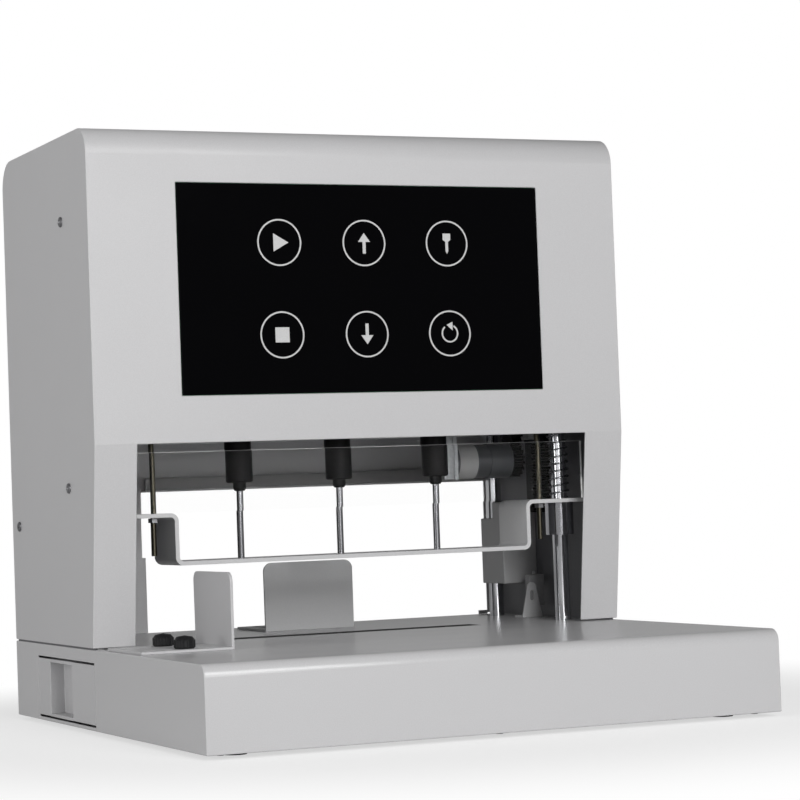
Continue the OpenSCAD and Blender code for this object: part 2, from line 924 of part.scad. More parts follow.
module gauge_screws()
    color(steel)
        at_gauge_screws() {
            seat = table_z + stop_t + screw_fit;
            tip = bed_z + gauge_tip_gap;
            translate([0, 0, tip])
                cylinder(h = seat - tip + eps, d = screw_d);
            translate([0, 0, seat])
                cylinder(h = gauge_head_h, d1 = gauge_head_d, d2 = gauge_head_d - 2 * gauge_bevel);
        }

// Drawer

tray_side_gap = 1;
tray_wall = 1.2;
tray_x = [-side_x + pull_d + sheet, -side_x + drawer_l];
tray_y = [drawer_y[0] + tray_side_gap, drawer_y[1] - tray_side_gap];
pull_mid = (drawer_y[0] + drawer_y[1]) / 2 + pull_shift;
pull_y = [pull_mid - pull_w / 2, pull_mid + pull_w / 2];
runner_w = 10;
runner_inset = 6;

module drawer_runners()
    color(steel)
        for (y = [tray_y[0] + runner_inset, tray_y[1] - runner_inset - runner_w])
            span(tray_x, [y, y + runner_w], [foot_h + sheet, drawer_z[0] - soft_fit]);

module drawer_tray()
    color("#8f9194")
        difference() {
            span(tray_x, tray_y, drawer_z);
            span([tray_x[0] + tray_wall, tray_x[1] - tray_wall],
                [tray_y[0] + tray_wall, tray_y[1] - tray_wall], [drawer_z[0] + tray_wall, deep]);
        }

// A bent strip: two faces beside a square channel that serves as the pull
module drawer_front()
    color(paint)
        translate([-side_x, 0, drawer_z[0]])
            linear_extrude(drawer_z[1] - drawer_z[0])
                polygon([
                    [0, drawer_y[0]], [0, pull_y[0]], [pull_d, pull_y[0]], [pull_d, pull_y[1]],
                    [0, pull_y[1]], [0, drawer_y[1]], [sheet, drawer_y[1]], [sheet, pull_y[1] + sheet],
                    [pull_d + sheet, pull_y[1] + sheet], [pull_d + sheet, pull_y[0] - sheet],
                    [sheet, pull_y[0] - sheet], [sheet, drawer_y[0]]]);

// Head

head_front_gap = 2;
head_rear = 24;
head_side = 14;
head_x = post_x + head_side;
head_y = [bar_y[0] + guard_t + head_front_gap, post_y[1] + head_rear];
notch_gap = 4;
notch_side_gap = 3;
notch_y = [lift_y - lift_r - notch_gap, rack_y + rack_back + notch_gap];
idler_xs = [-hole_pitch / 2, hole_pitch / 2];
pin_d = 8;

module head_plate()
    color("#7b7d80") {
        difference() {
            span([-head_x, head_x], head_y, [head_z, head_top]);
            both_sides()
                span([rack_x - notch_side_gap, deep], notch_y, [head_z - eps, head_top + eps]);
            at_posts()
                cylinder(h = deep, d = bush_d + 2 * run_fit);
            at_bits()
                cylinder(h = deep, d = bearing_d + 2 * run_fit);
            for (x = [-rod_x, rod_x])
                translate([x, rod_y, 0])
                    cylinder(h = deep, d = rod_d + 2 * run_fit);
        }
        for (x = idler_xs)
            translate([x, bit_y, head_top - eps])
                cylinder(h = gear_room + eps, d = pin_d);
    }

pillar_d = 10;
pillar_rim = 8;
pillar_over = 24;
pillar_out = 1;
pillar_in = 2;
pillar_x = hole_pitch + pillar_over;
pillar_ys = [bit_y - gear_r - pillar_out, motor_y + motor_d / 2 - pillar_in];
motor_boss_d = 14;

module gear_plate()
    color("#8d8f92")
        difference() {
            span([-pillar_x - pillar_rim, pillar_x + pillar_rim],
                [pillar_ys[0] - pillar_rim, pillar_ys[1] + pillar_rim], [gear_plate_z, gear_plate_top]);
            at_bits()
                cylinder(h = deep, d = bearing_d + 2 * run_fit);
            translate([0, motor_y, 0])
                cylinder(h = deep, d = motor_boss_d);
        }

module gear_plate_pillars()
    color(steel)
        for (x = [-pillar_x, pillar_x], y = pillar_ys)
            translate([x, y, head_top])
                cylinder(h = gear_room, d = pillar_d);

module spindle_bearings()
    color("#9a9ca0")
        at_bits() {
            ring(head_z, head_t, bearing_d, spindle_d + 2 * run_fit);
            ring(gear_plate_z, gear_plate_t, bearing_d, spindle_d + 2 * run_fit);
        }

module guide_bushings()
    color("#2b2c2f")
        at_posts()
            ring(head_z, bush_l, bush_d, post_d + 2 * run_fit);

motor_shaft_d = 8;
motor_shaft_l = 18;
motor_rim_h = 4;
motor_skin = 1.5;
motor_neck_r = 10;
motor_neck_h = 4;
motor_neck_rim = 2;
motor_cap_h = 10;
motor_cap_in = 5;

module drill_motor()
    color("#3f4145")
        translate([0, motor_y, gear_plate_top])
            difference() {
                rotate_extrude()
                    polygon([
                        [0, 0], [motor_d / 2, 0], [motor_d / 2, motor_rim_h],
                        [motor_d / 2 - motor_skin, motor_rim_h + motor_skin],
                        [motor_d / 2 - motor_skin, motor_l - motor_cap_h],
                        [motor_d / 2 - motor_cap_in, motor_l - motor_neck_h - motor_neck_rim],
                        [motor_neck_r + motor_neck_rim, motor_l - motor_neck_h],
                        [motor_neck_r, motor_l], [0, motor_l]]);
                translate([0, 0, -eps])
                    cylinder(h = motor_shaft_l + soft_fit + eps, d = motor_shaft_d + 2 * run_fit);
            }

// Gear motor under the head plate, its axis along X
gearbox_l = 19;
gearbox_rim = 0.6;
lift_motor_l = 30;
lift_motor_gap = 2;
lift_stub_d = 6;
lift_stub_l = 10;
lift_bracket_t = 3;
lift_bracket_rim = 1;
lift_bracket_foot = 20;
lift_hole_gap = 2;
gearbox_x = [lift_gear_x - lift_motor_gap - gearbox_l, lift_gear_x - lift_motor_gap];
lift_motor_x = gearbox_x[0] - lift_motor_l;

module lift_motor()
    color("#6d7075")
        difference() {
            union() {
                turned_x([lift_motor_x, gearbox_x[0] + eps], lift_y, lift_motor_z, lift_motor_d / 2);
                turned_x(gearbox_x, lift_y, lift_motor_z, lift_motor_d / 2 + gearbox_rim);
            }
            turned_x([gearbox_x[1] - lift_stub_l - soft_fit, gearbox_x[1] + eps], lift_y, lift_motor_z,
                lift_stub_d / 2 + run_fit);
        }

module lift_motor_bracket() {
    half = lift_motor_d / 2 + lift_bracket_rim;
    color("#c4c5c6")
        difference() {
            union() {
                span([lift_motor_x - lift_bracket_t, lift_motor_x], [lift_y - half, lift_y + half],
                    [lift_motor_z - half, head_z]);
                span([lift_motor_x - lift_bracket_foot, lift_motor_x], [lift_y - half, lift_y + half],
                    [head_z - lift_bracket_t, head_z]);
            }
            turned_x([lift_motor_x - lift_bracket_t - eps, lift_motor_x + eps], lift_y, lift_z,
                lift_d / 2 + lift_hole_gap);
        }
}

block_rim = 4;

module shaft_blocks() {
    half = lift_d / 2 + block_rim;
    color("#7b7d80")
        both_sides()
            difference() {
                span(block_x, [lift_y - half, lift_y + half], [lift_z - half, head_z]);
                turned_x([block_x[0] - eps, block_x[1] + eps], lift_y, lift_z, lift_d / 2 + run_fit);
            }
}

// The press bar hangs on two rods with a nut at each end
rod_nut_h = 3.2;
rod_nut_d = 1.9 * rod_d;
rod_tail = 24;
rod_over = 4;
rod_nut_z = flange_z - bar_t - soft_fit - rod_nut_h;

module at_rods()
    for (x = [-rod_x, rod_x])
        translate([x, rod_y, 0])
            children();

module hanger_rods()
    color("#b59a5b")
        at_rods()
            translate([0, 0, rod_nut_z - rod_tail])
                cylinder(h = head_top + rod_over - rod_nut_z + rod_tail, d = rod_d);

module hanger_nuts()
    color(steel)
        at_rods() {
            hex_nut(rod_nut_z, rod_nut_h, rod_nut_d, rod_d + 2 * run_fit);
            hex_nut(head_top, rod_nut_h, rod_nut_d, rod_d + 2 * run_fit);
        }

// Press springs, one swept wire each, between the press bar and the head plate
coil_gap_in = 0.6;
coil_r = post_d / 2 + coil_gap_in + wire / 2;
coil_steps = 8;
wire_sides = 6;
coil_z = [flange_z + wire / 2 + soft_fit, head_z - wire / 2 - soft_fit];
coil_n = turns * coil_steps;
function coil_out(i) = [cos(360 * i / coil_steps), sin(360 * i / coil_steps), 0];
function coil_along(i) = [-sin(360 * i / coil_steps), cos(360 * i / coil_steps), 0];
function coil_centre(i) =
    coil_r * coil_out(i) + [0, 0, coil_z[0] + (coil_z[1] - coil_z[0]) * i / coil_n];
function coil_ring(i, push) = [for (j = [0 : wire_sides - 1])
    let (a = 360 * j / wire_sides)
    coil_centre(i) + push * coil_along(i) + wire / 2 * (cos(a) * coil_out(i) + [0, 0, sin(a)])];
coil_points = concat(
    coil_ring(0, -wire), [for (i = [0 : coil_n]) each coil_ring(i, 0)], coil_ring(coil_n, wire));
coil_last = (coil_n + 2) * wire_sides;
coil_faces = concat(
    [for (j = [1 : wire_sides - 2]) [0, j + 1, j]],
    [for (a = [0 : wire_sides : coil_last - 1], j = [0 : wire_sides - 1])
        let (k = (j + 1) % wire_sides, b = a + wire_sides)
        each [[a + j, a + k, b + j], [a + k, b + k, b + j]]],
    [for (j = [1 : wire_sides - 2]) [coil_last, coil_last + j, coil_last + j + 1]]);
coil_least_gap = min([for (i = [0 : coil_steps], j = [i + coil_steps - 2 : i + coil_steps + 2])
    norm(coil_centre(j) - coil_centre(i))]) - wire;
echo(least_gap_of_press_spring_to_itself = coil_least_gap);

module press_spring(x)
    color("#3b3d40")
        translate([x, post_y[0], 0])
            polyhedron(coil_points, coil_faces);

module left_press_spring()
    press_spring(-post_x);

module right_press_spring()
    press_spring(post_x);

// Spindles and bits

quill_z = table_z + quill_rise;
bit_seat = 16;
shoulder = 1;
spindle_short = 0.5;
spindle_top = gear_plate_top - spindle_short;
quill_chamfer = 1;
nose_wall = 2.4;
nose_tip_wall = 1.2;
nose_taper = 2;
tip_taper = 2;
tip_edge = 0.1;

module spindle(x)
    color(black)
        translate([x, bit_y, 0])
            rotate_extrude()
                polygon([
                    [bit_d / 2 + run_fit, quill_z - nose_l], [bit_d / 2 + nose_tip_wall, quill_z - nose_l],
                    [bit_d / 2 + nose_wall, quill_z - nose_l + nose_taper], [bit_d / 2 + nose_wall, quill_z],
                    [quill_d / 2 - quill_chamfer, quill_z], [quill_d / 2, quill_z + quill_chamfer],
                    [quill_d / 2, head_z - shoulder], [spindle_d / 2, head_z - shoulder],
                    [spindle_d / 2, spindle_top], [0, spindle_top],
                    [0, quill_z + bit_seat], [bit_d / 2 + run_fit, quill_z + bit_seat]]);

module left_spindle()
    spindle(bit_xs[0]);

module middle_spindle()
    spindle(bit_xs[1]);

module right_spindle()
    spindle(bit_xs[2]);

module spindle_gear(x)
    color(bronze)
        translate([x, bit_y, gear_z])
            gear(gear_module, gear_teeth, gear_w, spindle_d + 2 * run_fit);

module left_spindle_gear()
    spindle_gear(bit_xs[0]);

module middle_spindle_gear()
    spindle_gear(bit_xs[1]);

module right_spindle_gear()
    spindle_gear(bit_xs[2]);

module bit(x)
    color(steel)
        translate([x, bit_y, 0])
            rotate_extrude()
                polygon([
                    [bit_d / 2 - bit_wall, tip_z], [bit_d / 2 - bit_wall + tip_edge, tip_z],
                    [bit_d / 2, tip_z + tip_taper], [bit_d / 2, quill_z + bit_seat - soft_fit],
                    [bit_d / 2 - bit_wall, quill_z + bit_seat - soft_fit]]);

module left_bit()
    bit(bit_xs[0]);

module middle_bit()
    bit(bit_xs[1]);

module right_bit()
    bit(bit_xs[2]);

// Each idler turns on a pin of the head plate, with a gap towards the middle spindle's tooth
module idler_gear(x)
    color("#8f7d52")
        translate([x, bit_y, gear_z])
            rotate(180 + 180 / gear_teeth)
                gear(gear_module, gear_teeth, gear_w, pin_d + 2 * run_fit);

module left_idler_gear()
    idler_gear(idler_xs[0]);

module right_idler_gear()
    idler_gear(idler_xs[1]);

module motor_pinion()
    color(bronze)
        translate([0, motor_y, gear_z]) {
            rotate(quarter_rest(gear_teeth) * gear_teeth / pinion_teeth + 180 / pinion_teeth - 90)
                linear_extrude(gear_w)
                    polygon(gear_points(gear_module, pinion_teeth));
            cylinder(h = gear_plate_top - gear_z + motor_shaft_l, d = motor_shaft_d);
        }

// Lift

pinion_gap = 0.5;
pinion_x = rack_x + pinion_gap;
shaft_over = 1;

// Turns a gear's outline so that its axis lies along X and its first axis points down
module facing_x(x, z)
    translate([x, lift_y, z])
        rotate([0, 90, 0])
            children();

module lift_shaft() {
    half = pinion_x + lift_w + shaft_over;
    color(steel)
        turned_x([-half, half], lift_y, lift_z, lift_d / 2);
}

module lift_gears()
    color(bronze)
        for (x = [-pinion_x - lift_w, lift_gear_x, pinion_x])
            facing_x(x, lift_z)
                rotate(90)
                    gear(lift_module, lift_teeth, lift_w, lift_d + 2 * run_fit);

module lift_motor_gear()
    color(bronze) {
        facing_x(lift_gear_x, lift_motor_z)
            rotate(180 - quarter_rest(lift_teeth) + 180 / lift_teeth)
                linear_extrude(lift_w)
                    polygon(gear_points(lift_module, lift_teeth));
        turned_x([gearbox_x[1] - lift_stub_l, lift_gear_x + eps], lift_y, lift_motor_z, lift_stub_d / 2);
    }

// Press

// A quarter of a bent strip, centred on its bend
module bend(turn)
    rotate(turn)
        intersection() {
            difference() {
                circle(bar_r);
                circle(bar_r - bar_t);
            }
            square(bar_r);
        }

// Half of the hat profile: run, web and flange with their two bends
module half_hat() {
    flange_x = web_x - bar_t + bar_r;
    translate([0, bar_z])
        square([web_x - bar_r, bar_t]);
    translate([web_x - bar_r, bar_z + bar_r])
        bend(270);
    translate([web_x - bar_t, bar_z + bar_r])
        square([bar_t, bar_h - 2 * bar_r]);
    translate([flange_x, flange_z - bar_r])
        bend(90);
    translate([flange_x, flange_z - bar_t])
        square([bar_x - flange_x, bar_t]);
}

module press_bar()
    color("#c2c3c4")
        difference() {
            along_y(bar_y) {
                half_hat();
                mirror([1, 0])
                    half_hat();
            }
            at_bits()
                cylinder(h = deep, d = bit_d + 2 * soft_fit);
            for (x = [-post_x, post_x])
                translate([x, post_y[0], 0])
                    cylinder(h = deep, d = post_d + 2 * soft_fit);
            at_rods()
                cylinder(h = deep, d = rod_d + 2 * soft_fit);
        }

module press_bushings()
    color(black)
        for (x = [-post_x, post_x])
            translate([x, post_y[0], 0])
                ring(flange_z - bar_t - press_bush_l, press_bush_l, bush_d, post_d + 2 * run_fit);

module press_guard()
    color([0.85, 0.9, 0.93, 0.35])
        span([guard_short - bar_x, bar_x - guard_short], [bar_y[0], bar_y[0] + guard_t],
            [flange_z, flange_z + guard_h]);

base_shell();
bottom_plate();
feet();
bed_plate();
die_strip();
drawer_runners();
stop_nuts();
gauge_screws();
housing_cover();
rear_cover();
side_frames();
top_plate();
guide_posts();
post_brackets();
lift_racks();
touch_panel();
control_board();
power_supply();
power_inlet();
side_screws();
sensor_bracket();
limit_switch();
rocker();
drawer_tray();
drawer_front();
side_stop();
front_thumb_screw();
rear_thumb_screw();
back_gauge();
head_plate();
gear_plate();
gear_plate_pillars();
spindle_bearings();
guide_bushings();
drill_motor();
lift_motor();
lift_motor_bracket();
shaft_blocks();
hanger_rods();
hanger_nuts();
left_press_spring();
right_press_spring();
left_spindle();
middle_spindle();
right_spindle();
left_spindle_gear();
middle_spindle_gear();
right_spindle_gear();
left_bit();
middle_bit();
right_bit();
left_idler_gear();
right_idler_gear();
motor_pinion();
lift_shaft();
lift_gears();
lift_motor_gear();
press_bar();
press_bushings();
press_guard();
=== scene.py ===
"""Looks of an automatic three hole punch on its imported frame. Metres, +Z up, front towards -Y."""
import json
import math

import bmesh
import bpy
from mathutils import Matrix, Vector


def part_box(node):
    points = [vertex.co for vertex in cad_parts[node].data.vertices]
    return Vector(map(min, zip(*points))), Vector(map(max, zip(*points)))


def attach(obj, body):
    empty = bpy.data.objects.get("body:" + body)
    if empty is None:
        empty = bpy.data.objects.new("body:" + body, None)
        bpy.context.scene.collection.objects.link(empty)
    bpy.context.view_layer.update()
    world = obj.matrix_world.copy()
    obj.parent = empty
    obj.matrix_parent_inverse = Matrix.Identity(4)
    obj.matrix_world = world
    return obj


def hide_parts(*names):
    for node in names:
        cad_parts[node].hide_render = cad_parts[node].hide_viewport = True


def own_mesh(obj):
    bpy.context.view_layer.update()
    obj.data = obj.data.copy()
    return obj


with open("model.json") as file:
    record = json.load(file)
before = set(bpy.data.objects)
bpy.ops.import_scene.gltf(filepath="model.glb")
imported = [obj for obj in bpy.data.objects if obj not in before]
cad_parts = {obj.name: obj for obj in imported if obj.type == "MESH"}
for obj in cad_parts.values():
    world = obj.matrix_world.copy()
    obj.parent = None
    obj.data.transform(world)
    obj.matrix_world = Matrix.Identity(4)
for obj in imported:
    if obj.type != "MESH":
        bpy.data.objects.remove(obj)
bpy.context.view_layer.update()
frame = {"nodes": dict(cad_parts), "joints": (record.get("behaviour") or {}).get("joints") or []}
nodes = frame["nodes"]
MM = 0.001
SIDES = 48  # sides of a round piece

# Camera, from a fit of the casing's corners in an 800 pixel wide picture
IMAGE_PX = 800
FOCAL_PX = 2620.25
SENSOR = 36.0
CAMERA_AT = Vector((-0.7609, -1.7658, 0.1604))
CAMERA_YAW = math.radians(24.0358)
CAMERA_PITCH = math.radians(-2.1106)
CAMERA_ROLL = math.radians(-2.0986)


# Materials

NOISE_RANGE = (0.25, 0.75)  # where most of a noise lies
CLOUD_SCALE = 9  # of the broad noise in a finish's roughness
ROUGH_VARY = 0.08
BUMP_DEPTH = 0.2 * MM
BRUSH_STRETCH = 0.02  # of the noise along brushed lines
SAWN_MATT = 0.8  # share of a sawn edge that is matt
SAWN_SLOPE = (0.3, 0.8)  # how far a face turns away from a sheet's own until it counts as its edge


def new_material(name):
    """A material with a Principled shader, and the node tree to add to."""
    mat = bpy.data.materials.new(name)
    mat.use_nodes = True
    tree = mat.node_tree
    return mat, tree, tree.nodes["Principled BSDF"]


def add_node(tree, kind, **values):
    """A shader node with inputs set by name."""
    node = tree.nodes.new(kind)
    for key, value in values.items():
        node.inputs[key.replace("_", " ")].default_value = value
    return node


def object_noise(tree, scale, detail=2.0, stretch=(1, 1, 1)):
    """Noise in the object's own metres, stretched along its axes."""
    at = tree.nodes.new("ShaderNodeTexCoord")
    mapping = add_node(tree, "ShaderNodeMapping", Scale=stretch)
    noise = add_node(tree, "ShaderNodeTexNoise", Scale=scale, Detail=detail)
    tree.links.new(at.outputs["Object"], mapping.inputs["Vector"])
    tree.links.new(mapping.outputs["Vector"], noise.inputs["Vector"])
    return noise.outputs["Fac"]


def spread(tree, fac, low, high):
    """Carries a noise from its usual middle range to low..high."""
    node = add_node(tree, "ShaderNodeMapRange", From_Min=NOISE_RANGE[0], From_Max=NOISE_RANGE[1],
                    To_Min=low, To_Max=high)
    node.interpolation_type = "SMOOTHERSTEP"
    tree.links.new(fac, node.inputs["Value"])
    return node.outputs["Result"]


def tint(tree, fac, dark, light):
    """A colour between two others."""
    node = tree.nodes.new("ShaderNodeMix")
    node.data_type = "RGBA"
    colours = [s for s in node.inputs if s.type == "RGBA"]
    colours[0].default_value, colours[1].default_value = (*dark, 1), (*light, 1)
    tree.links.new(fac, node.inputs["Factor"])
    return next(s for s in node.outputs if s.type == "RGBA")


def add_bump(tree, shader, heights, distance):
    """Bump from several noises, each with its strength."""
    normal = None
    for height, strength in heights:
        bump = add_node(tree, "ShaderNodeBump", Strength=strength, Distance=distance)
        tree.links.new(height, bump.inputs["Height"])
        if normal:
            tree.links.new(normal, bump.inputs["Normal"])
        normal = bump.outputs["Normal"]
    tree.links.new(normal, shader.inputs["Normal"])


def finish(name, colour, rough, metal=0.0, vary=0.06, grain=900, grain_bump=0.1, peel=220, peel_bump=0.05,
           stretch=(1, 1, 1), specular=0.5):
    """A surface whose colour, roughness and height vary with noise at the scale of its finish."""
    mat, tree, shader = new_material(name)
    shader.inputs["Metallic"].default_value = metal
    shader.inputs["Specular IOR Level"].default_value = specular
    fine = object_noise(tree, grain, 3.0, stretch)
    broad = object_noise(tree, peel, 2.0, stretch)
    cloud = object_noise(tree, CLOUD_SCALE, 2.0)
    dark = [c * (1 - vary) for c in colour]
    light = [min(1, c * (1 + vary)) for c in colour]
    tree.links.new(tint(tree, spread(tree, fine, 0, 1), dark, light), shader.inputs["Base Color"])
    smooth, dull = rough * (1 - ROUGH_VARY), rough * (1 + ROUGH_VARY)
    tree.links.new(spread(tree, cloud, smooth, dull), shader.inputs["Roughness"])
    add_bump(tree, shader, [(broad, peel_bump), (fine, grain_bump)], BUMP_DEPTH)
    return mat


def brushed(name, colour, rough, along, vary=0.05):
    """Ground or drawn metal, its fine lines along one axis."""
    stretch = tuple(BRUSH_STRETCH if axis == along else 1 for axis in "XYZ")
    return finish(name, colour, rough, metal=1.0, vary=vary, grain=1600, grain_bump=0.02, peel=500,
                  peel_bump=0.01, stretch=stretch)


def sawn_edge(tree):
    """One on a sheet's upper edge and ends, zero on its faces."""
    facing = tree.nodes.new("ShaderNodeNewGeometry")
    axes = tree.nodes.new("ShaderNodeSeparateXYZ")
    tree.links.new(facing.outputs["Normal"], axes.inputs[0])
    sides = tree.nodes.new("ShaderNodeMath")
    sides.operation = "ABSOLUTE"
    tree.links.new(axes.outputs["X"], sides.inputs[0])
    either = tree.nodes.new("ShaderNodeMath")
    either.operation = "MAXIMUM"
    tree.links.new(axes.outputs["Z"], either.inputs[0])
    tree.links.new(sides.outputs[0], either.inputs[1])
    edge = add_node(tree, "ShaderNodeMapRange", From_Min=SAWN_SLOPE[0], From_Max=SAWN_SLOPE[1])
    tree.links.new(either.outputs[0], edge.inputs["Value"])
    return edge.outputs["Result"]


def clear_acrylic():
    """A clear sheet with matt sawn edges."""
    mat, tree, shader = new_material("clear_acrylic")
    shader.inputs["Base Color"].default_value = (0.99, 0.99, 0.99, 1)
    shader.inputs["IOR"].default_value = 1.49
    shader.inputs["Specular Tint"].default_value = (0.12, 0.12, 0.12, 1)
    smudge = object_noise(tree, 30, 3.0)
    tree.links.new(spread(tree, smudge, 0.0, 0.03), shader.inputs["Roughness"])
    sawn = sawn_edge(tree)
    clear = add_node(tree, "ShaderNodeMapRange", To_Min=1.0, To_Max=1.0 - SAWN_MATT)
    tree.links.new(sawn, clear.inputs["Value"])
    tree.links.new(clear.outputs["Result"], shader.inputs["Transmission Weight"])
    return mat


def panel_glass():
    """Black glass with faint smudges."""
    mat, tree, shader = new_material("panel_glass")
    shader.inputs["Base Color"].default_value = (0.0016, 0.0016, 0.002, 1)
    shader.inputs["Specular IOR Level"].default_value = 0.03
    smudge = object_noise(tree, 18, 4.0)
    tree.links.new(spread(tree, smudge, 0.04, 0.11), shader.inputs["Roughness"])
    return mat


def circuit_board():
    """Solder mask with lighter tracks."""
    mat, tree, shader = new_material("circuit_board")
    at = tree.nodes.new("ShaderNodeTexCoord")
    mapping = add_node(tree, "ShaderNodeMapping", Rotation=(math.pi / 2, 0, 0))
    brick = add_node(tree, "ShaderNodeTexBrick", Scale=160.0, Mortar_Size=0.04)
    brick.inputs["Color1"].default_value = (0.012, 0.10, 0.045, 1)
    brick.inputs["Color2"].default_value = (0.016, 0.12, 0.055, 1)
    brick.inputs["Mortar"].default_value = (0.05, 0.26, 0.12, 1)
    tree.links.new(at.outputs["Object"], mapping.inputs["Vector"])
    tree.links.new(mapping.outputs["Vector"], brick.inputs["Vector"])
    tree.links.new(brick.outputs["Color"], shader.inputs["Base Color"])
    tree.links.new(spread(tree, object_noise(tree, 60), 0.3, 0.42), shader.inputs["Roughness"])
    return mat


BASE_PAINT = (0.585, 0.582, 0.590)
COVER_PAINT = (0.565, 0.562, 0.570)
paint = finish("grey_paint", COVER_PAINT, 0.42, vary=0.03, grain=1400, grain_bump=0.14, peel=260,
               peel_bump=0.07)
base_paint = finish("base_paint", BASE_PAINT, 0.24, vary=0.03, grain=1400, grain_bump=0.03, peel=260,
                    peel_bump=0.02, specular=0.45)
# the lip is the cover's own grey sheet; its darker grey is painted shade, for the shade under the opening's
# top edge
lip_painted_shade = finish("lip_painted_shade", (0.23, 0.225, 0.225), 0.45, vary=0.05)
bar_paint = finish("bar_paint", (0.60, 0.60, 0.605), 0.36, vary=0.02, peel_bump=0.04)
frame_paint = finish("frame_paint", (0.13, 0.13, 0.14), 0.42, vary=0.08)
plate_paint = finish("plate_paint", (0.115, 0.112, 0.116), 0.45, vary=0.06)
cast = finish("cast_aluminium", (0.42, 0.42, 0.425), 0.5, metal=0.1, vary=0.05, grain=1800)
zinc = finish("zinc", (0.36, 0.37, 0.38), 0.42, metal=0.85, vary=0.08, grain=420, grain_bump=0.04, peel=140)
gauge_paint = finish("gauge_paint", (0.42, 0.42, 0.425), 0.42, vary=0.03, grain=1400, grain_bump=0.1)
chrome = brushed("chrome", (0.66, 0.665, 0.69), 0.1, "Z", vary=0.03)
polished = finish("polished_steel", (0.48, 0.48, 0.505), 0.12, metal=1.0, vary=0.06)
shaft_steel = brushed("shaft_steel", (0.62, 0.63, 0.65), 0.2, "X")
bit_steel = brushed("bit_steel", (0.28, 0.28, 0.295), 0.2, "Z")
screw_steel = finish("screw_steel", (0.24, 0.24, 0.25), 0.4, metal=0.9, vary=0.1)
spring_steel = finish("spring_steel", (0.34, 0.34, 0.36), 0.22, metal=1.0, vary=0.1)
black_steel = finish("black_steel", (0.009, 0.0088, 0.0095), 0.42, metal=0.2, vary=0.15, specular=0.1)
grey_plastic = finish("grey_plastic", (0.32, 0.32, 0.324), 0.45, vary=0.08, grain=700)
black_plastic = finish("black_plastic", (0.010, 0.010, 0.011), 0.5, vary=0.12, grain=700, grain_bump=0.14,
                       specular=0.25)
rubber = finish("rubber", (0.02, 0.02, 0.02), 0.85, vary=0.15, grain=500, grain_bump=0.3)
bronze = finish("bronze", (0.52, 0.39, 0.19), 0.3, metal=1.0, vary=0.08)
rod_brass = finish("rod_brass", (0.07, 0.064, 0.048), 0.32, metal=1.0, vary=0.1)
motor_paint = finish("motor_shell", (0.05, 0.052, 0.056), 0.4, vary=0.1)
gear_motor = finish("gear_motor", (0.12, 0.125, 0.135), 0.4, metal=0.4, vary=0.06)
label = finish("bare_label", (0.42, 0.42, 0.42), 0.45, vary=0.03)
ring_ink = finish("ring_ink", (0.57, 0.57, 0.57), 0.5, vary=0.04)
switch_ink = finish("switch_ink", (0.75, 0.75, 0.74), 0.5, vary=0.03)
glass, acrylic, board = panel_glass(), clear_acrylic(), circuit_board()

NODE_FINISH = {
    paint: "housing_cover rear_cover drawer_front side_stop",
    base_paint: "base_shell",
    frame_paint: "side_frames bed_plate bottom_plate",
    plate_paint: "head_plate top_plate gear_plate",
    cast: "post_brackets shaft_blocks power_supply",
    zinc: "lift_motor_bracket drawer_tray drawer_runners",
    gauge_paint: "back_gauge",
    bar_paint: "press_bar sensor_bracket",
    chrome: "guide_posts gear_plate_pillars",
    shaft_steel: "lift_shaft",
    bit_steel: "left_bit middle_bit right_bit",
    screw_steel: "side_screws gauge_screws stop_nuts hanger_nuts spindle_bearings",
    spring_steel: "left_press_spring right_press_spring",
    rubber: "feet die_strip",
    black_steel: "lift_gears lift_motor_gear lift_racks left_spindle middle_spindle right_spindle",
    polished: "press_bushings",
    black_plastic: "power_inlet rocker front_thumb_screw rear_thumb_screw guide_bushings",
    grey_plastic: "limit_switch",
    rod_brass: "hanger_rods",
    bronze: "left_spindle_gear middle_spindle_gear right_spindle_gear left_idler_gear "
            "right_idler_gear motor_pinion",
    motor_paint: "drill_motor",
    gear_motor: "lift_motor",
    glass: "touch_panel",
    acrylic: "press_guard",
    board: "control_board",
}


# Rounded edges of the CAD pieces

EDGE = {  # width of the rounding, in millimetres
    "housing_cover": 0.7, "base_shell": 0.7, "rear_cover": 0.4, "drawer_front": 0.6, "side_stop": 0.6,
    "back_gauge": 0.5, "press_bar": 0.5, "press_guard": 0.4, "touch_panel": 0.25, "post_brackets": 0.8,
    "head_plate": 0.6, "sensor_bracket": 0.3, "power_inlet": 0.4, "rocker": 0.5, "shaft_blocks": 0.6,
    "limit_switch": 0.5, "power_supply": 0.6, "die_strip": 0.3}
EDGE_ANGLE = math.radians(35)
FLAT_ANGLE = math.radians(0.2)
SAME_PLACE = 1e-6  # corners nearer than this are one
EDGE_STEPS = 3
SHORT_EDGE = 1.0 * MM  # the edges of small holes are shorter, and stay sharp
SHORT_BEND = {"base_shell": 0.3 * MM}  # a tight bend's edges are shorter too, but are rounded


def mark_sharp_edges(mesh, short):
    """Weighs each sharp edge longer than short for rounding. Faces meet where their corners do."""
    def place(index):
        return tuple(round(c / SAME_PLACE) for c in mesh.vertices[index].co)

    def key(edge):
        return frozenset(place(i) for i in edge)

    normals = {}
    for face in mesh.polygons:
        for edge in face.edge_keys:
            normals.setdefault(key(edge), []).append(face.normal.copy())
    weights = mesh.attributes.new("bevel_weight_edge", "FLOAT", "EDGE")
    for edge in mesh.edges:
        sides = normals[key(edge.vertices)]
        a, b = (mesh.vertices[i].co for i in edge.vertices)
        sharp = len(sides) == 2 and sides[0].angle(sides[1], 0) > EDGE_ANGLE
        weights.data[edge.index].value = float(sharp and (a - b).length > short)


